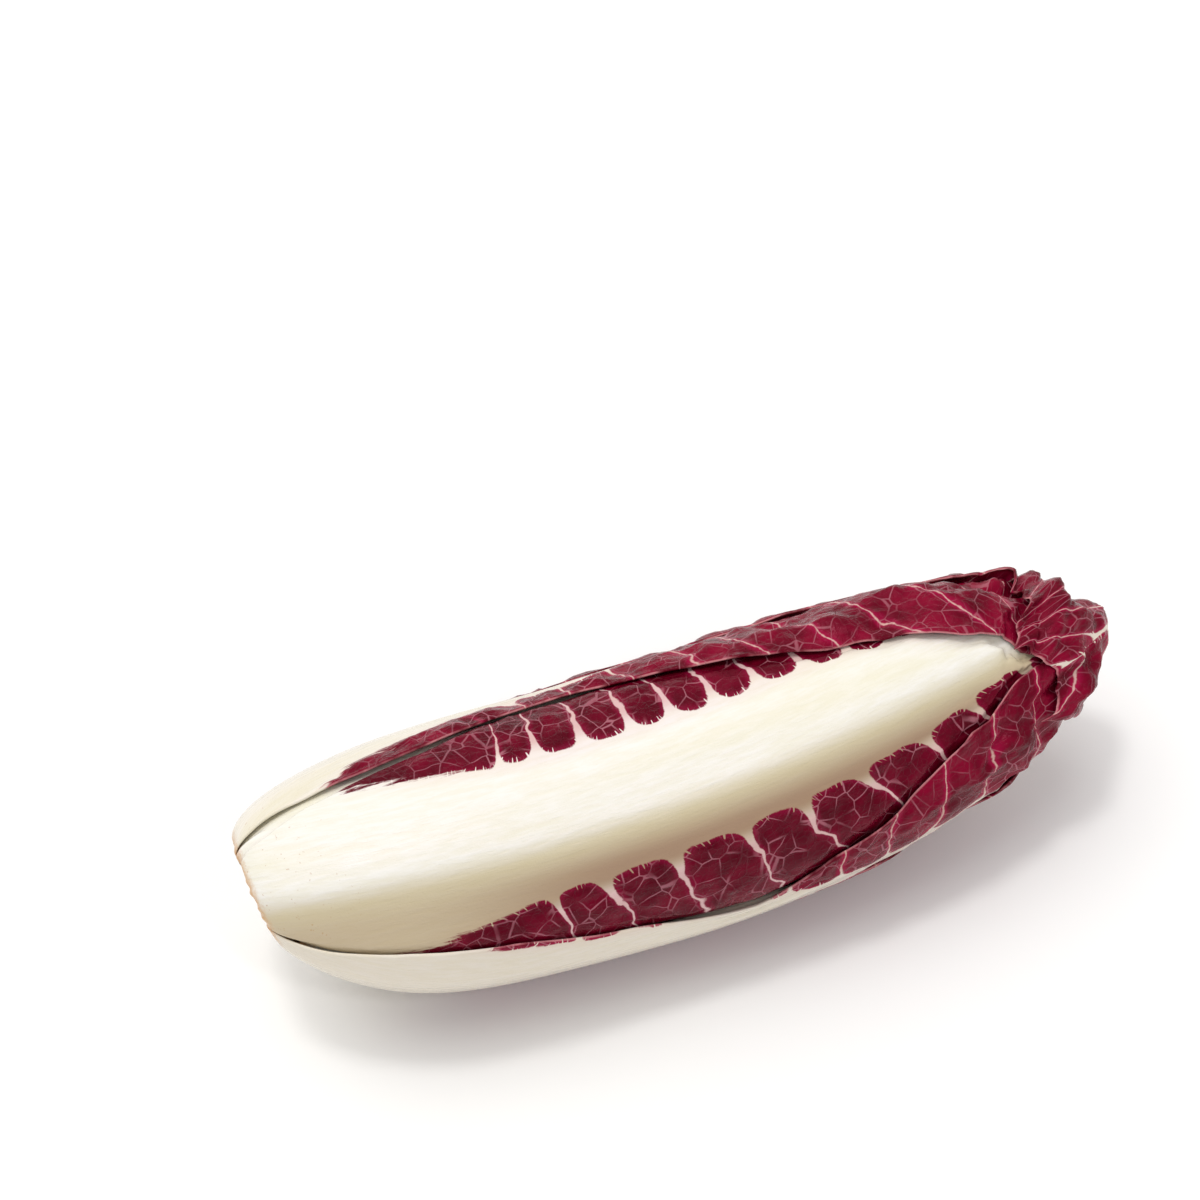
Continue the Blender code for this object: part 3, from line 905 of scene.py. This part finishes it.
def leaf_material(measures):
    """Crimson blade between cream veins, paling to a cream rib and foot. Places are in millimetres."""
    n = Nodes(measures["name"] + "_look")
    layer = float(measures["seed"]) * 13.0
    foot, side, rim = n.attribute("place")
    vein, beyond, _ = n.attribute("veins")
    here = n.vector(foot, side, layer)
    kink = n.minus(n.noise(here, 0.16, 1.0), 0.5)
    fringe = n.minus(n.noise(here, 0.9, 3.0, 0.7), 0.5)
    foot_part = n.rest(n.step(foot, 40.0, 75.0))
    edge = red_edge(n, measures, here, foot, side, vein, beyond, kink, fringe, foot_part)
    red = n.step(edge, -0.12, n.plus(0.25, n.times(foot_part, 1.2)))
    net, small_net, threads = thread_nets(
        n, measures, here, foot, side, beyond, kink, fringe, foot_part
    )
    streak = n.noise(n.vector(n.times(foot, 0.16), side, layer), 0.9, 3.0, 0.6)
    cream = cream_colour(n, measures, here, foot, side, beyond, fringe, streak)
    crimson = crimson_colour(n, measures, here, edge, rim, threads)
    n.put(n.shader.inputs["Base Color"], n.mix(red, cream, crimson))

    # Waxy skin, finely pebbled, with grooves along the rib and raised threads on the blade
    pebble = n.noise(here, 1.6, 3.0, 0.6)
    n.put(n.shader.inputs["Roughness"], n.plus(0.12, n.times(pebble, 0.10)))
    grooves = n.bump(streak, 0.00030, 0.7, n.bump(pebble, 0.00014, 0.5))
    ridges = n.plus(net, n.times(small_net, 0.5))
    n.put(n.shader.inputs["Normal"], n.bump(n.times(ridges, red), 0.00022, 0.6, grooves))
    n.shader.inputs["Specular IOR Level"].default_value = 0.15
    n.shader.inputs["Specular Tint"].default_value = GLOSS_TINT
    return n.material


def core_material():
    """Cut flesh, cream and tan with brown mottling."""
    n = Nodes("stem_core_look")
    coordinates = n.tree.nodes.new("ShaderNodeTexCoord").outputs["Object"]
    mottled = n.noise(coordinates, 420.0, 3.0)
    streak = n.noise(coordinates, 130.0, 2.0)
    colour = n.mix(n.step(streak, 0.35, 0.7), CORE_CREAM, CORE_TAN)
    colour = n.mix(n.times(n.step(mottled, 0.55, 0.75), 0.6), colour, CORE_BROWN)
    n.put(n.shader.inputs["Base Color"], colour)
    n.shader.inputs["Roughness"].default_value = 0.55
    n.put(n.shader.inputs["Normal"], n.bump(mottled, 0.0006, 0.6))
    return n.material


# ---------------------------------------------------------------- building

def build_leaves():
    """Lays every leaf from the outside in and finishes each one. Returns a tree of all their faces."""
    points_so_far = []
    faces_so_far = []
    tree = None
    for measures in all_leaves():
        top, covered, sides = coarse_leaf(measures, tree)
        rows, columns = measures["coarse"]
        quads = np.concatenate(sheet_quads(rows + 1, columns + 1)) + len(points_so_far)
        points_so_far += [tuple(point) for point in sides.reshape(-1, 3)]
        faces_so_far += [tuple(quad) for quad in quads.tolist()]
        tree = BVHTree.FromPolygons(points_so_far, faces_so_far)
        finished = fine_leaf(measures, top, covered)
        piece = add_mesh("fine_" + measures["name"], *finished, leaf_material(measures))
        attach(piece, "root")
        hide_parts(measures["name"])
    return tree


def build_core(tree):
    """The trimmed stem the leaves grow from."""
    place = np.linspace(0.0, CORE_END, CORE_ROWS) * CORE_LENGTH
    ring = np.arange(CORE_SIDES) / CORE_SIDES * 2.0 * math.pi
    grid_place, grid_ring = np.meshgrid(place, ring, indexing="ij")
    away = np.interp(-grid_place, -PLACE, AWAY)
    under = depth_under(tree, away, grid_ring)
    under = np.pad(under, ((0, 0), (CORE_REACH, CORE_REACH)), mode="wrap")
    under = spread_greatest(under, CORE_REACH)[:, CORE_REACH:-CORE_REACH]
    skin = np.interp(-grid_place, -PLACE, RADIUS)
    room = skin * (1.0 - np.maximum(under, 0.0) / GREATEST_RADIUS)
    cone = CORE_RADIUS * (1.0 - (grid_place / CORE_LENGTH) ** 2) ** CORE_TAPER
    radius = np.minimum(room, cone)
    points = np.stack(
        [grid_place, -radius * np.sin(grid_ring), radius * np.cos(grid_ring)], axis=-1
    )

    # The cut end is a little uneven
    discs = []
    for share in CORE_DISCS:
        disc = points[0] * share
        bumps = soft_noise(disc[:, 1] / CORE_UNEVENNESS_SIZE, disc[:, 2] / CORE_UNEVENNESS_SIZE, 90)
        disc[:, 0] = CORE_UNEVENNESS * bumps
        discs.append(disc)
    points = np.concatenate([np.array(discs)[::-1], points])
    grid = np.arange(len(points) * CORE_SIDES).reshape(len(points), CORE_SIDES)
    after = np.roll(grid, -1, axis=1)
    quads = np.stack([grid[:-1], after[:-1], after[1:], grid[1:]], axis=-1).reshape(-1, 4)
    flat = points.reshape(-1, 3)
    foot, apex = len(flat), len(flat) + 1
    flat = np.concatenate([flat, [[0.0, 0.0, 0.0]], [[CORE_LENGTH, 0.0, 0.0]]])
    faces = [tuple(quad) for quad in quads.tolist()]
    faces += [(foot, int(after[0][i]), int(grid[0][i])) for i in range(CORE_SIDES)]
    faces += [(apex, int(grid[-1][i]), int(after[-1][i])) for i in range(CORE_SIDES)]
    mesh = bpy.data.meshes.new("fine_stem_core")
    mesh.from_pydata(bent(flat).tolist(), [], faces)
    mesh.shade_smooth()
    mesh.set_sharp_from_angle(angle=math.radians(CORE_SHARP_ANGLE))
    mesh.materials.append(core_material())
    piece = bpy.data.objects.new("fine_stem_core", mesh)
    bpy.context.scene.collection.objects.link(piece)
    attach(piece, "root")
    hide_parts("stem_core")


def build_floor():
    """A plain pale floor."""
    mesh = bpy.data.meshes.new("floor")
    size = FLOOR_SIZE
    corners = [(-size, -size, 0), (size, -size, 0), (size, size, 0), (-size, size, 0)]
    mesh.from_pydata(corners, [], [(0, 1, 2, 3)])
    floor = bpy.data.objects.new("floor", mesh)
    bpy.context.scene.collection.objects.link(floor)
    n = Nodes("floor_look")
    n.shader.inputs["Base Color"].default_value = FLOOR_WHITE
    n.shader.inputs["Roughness"].default_value = 0.8
    n.shader.inputs["Specular IOR Level"].default_value = 0.2
    mesh.materials.append(n.material)


def build_lights():
    """A white sky and three suns."""
    scene = bpy.context.scene
    world = bpy.data.worlds.new("studio")
    world.use_nodes = True
    sky = world.node_tree.nodes["Background"]
    sky.inputs["Color"].default_value = (1.0, 1.0, 1.0, 1)
    sky.inputs["Strength"].default_value = SKY_STRENGTH
    scene.world = world
    for name, direction, spread, strength in LIGHTS:
        data = bpy.data.lights.new(name, "SUN")
        data.angle = spread
        data.energy = strength
        data.color = LAMP_WHITE
        lamp = bpy.data.objects.new(name, data)
        lamp.rotation_euler = (-Vector(direction)).to_track_quat("-Z", "Y").to_euler()
        scene.collection.objects.link(lamp)


def build_camera():
    """The photo's viewpoint, aimed a little off the middle of the head."""
    scene = bpy.context.scene
    azimuth, elevation = math.radians(CAMERA_AZIMUTH), math.radians(CAMERA_ELEVATION)
    level = math.cos(elevation)
    back = Vector((math.sin(azimuth) * level, -math.cos(azimuth) * level, math.sin(elevation)))
    right = Vector((math.cos(azimuth), math.sin(azimuth), 0.0))
    up = back.cross(right)
    low, high = CAD_BOX
    middle = (Vector(low) + Vector(high)) / 2.0
    target = middle + right * AIM[0] + up * AIM[1]
    data = bpy.data.cameras.new("camera")
    data.sensor_width = SENSOR_WIDTH
    data.lens = SENSOR_WIDTH * CAMERA_DISTANCE / FRAME_WIDTH
    camera = bpy.data.objects.new("camera", data)
    rotation = Matrix((right, up, back)).transposed()
    camera.matrix_world = Matrix.Translation(target + back * CAMERA_DISTANCE) @ rotation.to_4x4()
    scene.collection.objects.link(camera)
    scene.camera = camera
    scene.view_settings.view_transform = "Standard"


build_core(build_leaves())
build_floor()
build_lights()
build_camera()
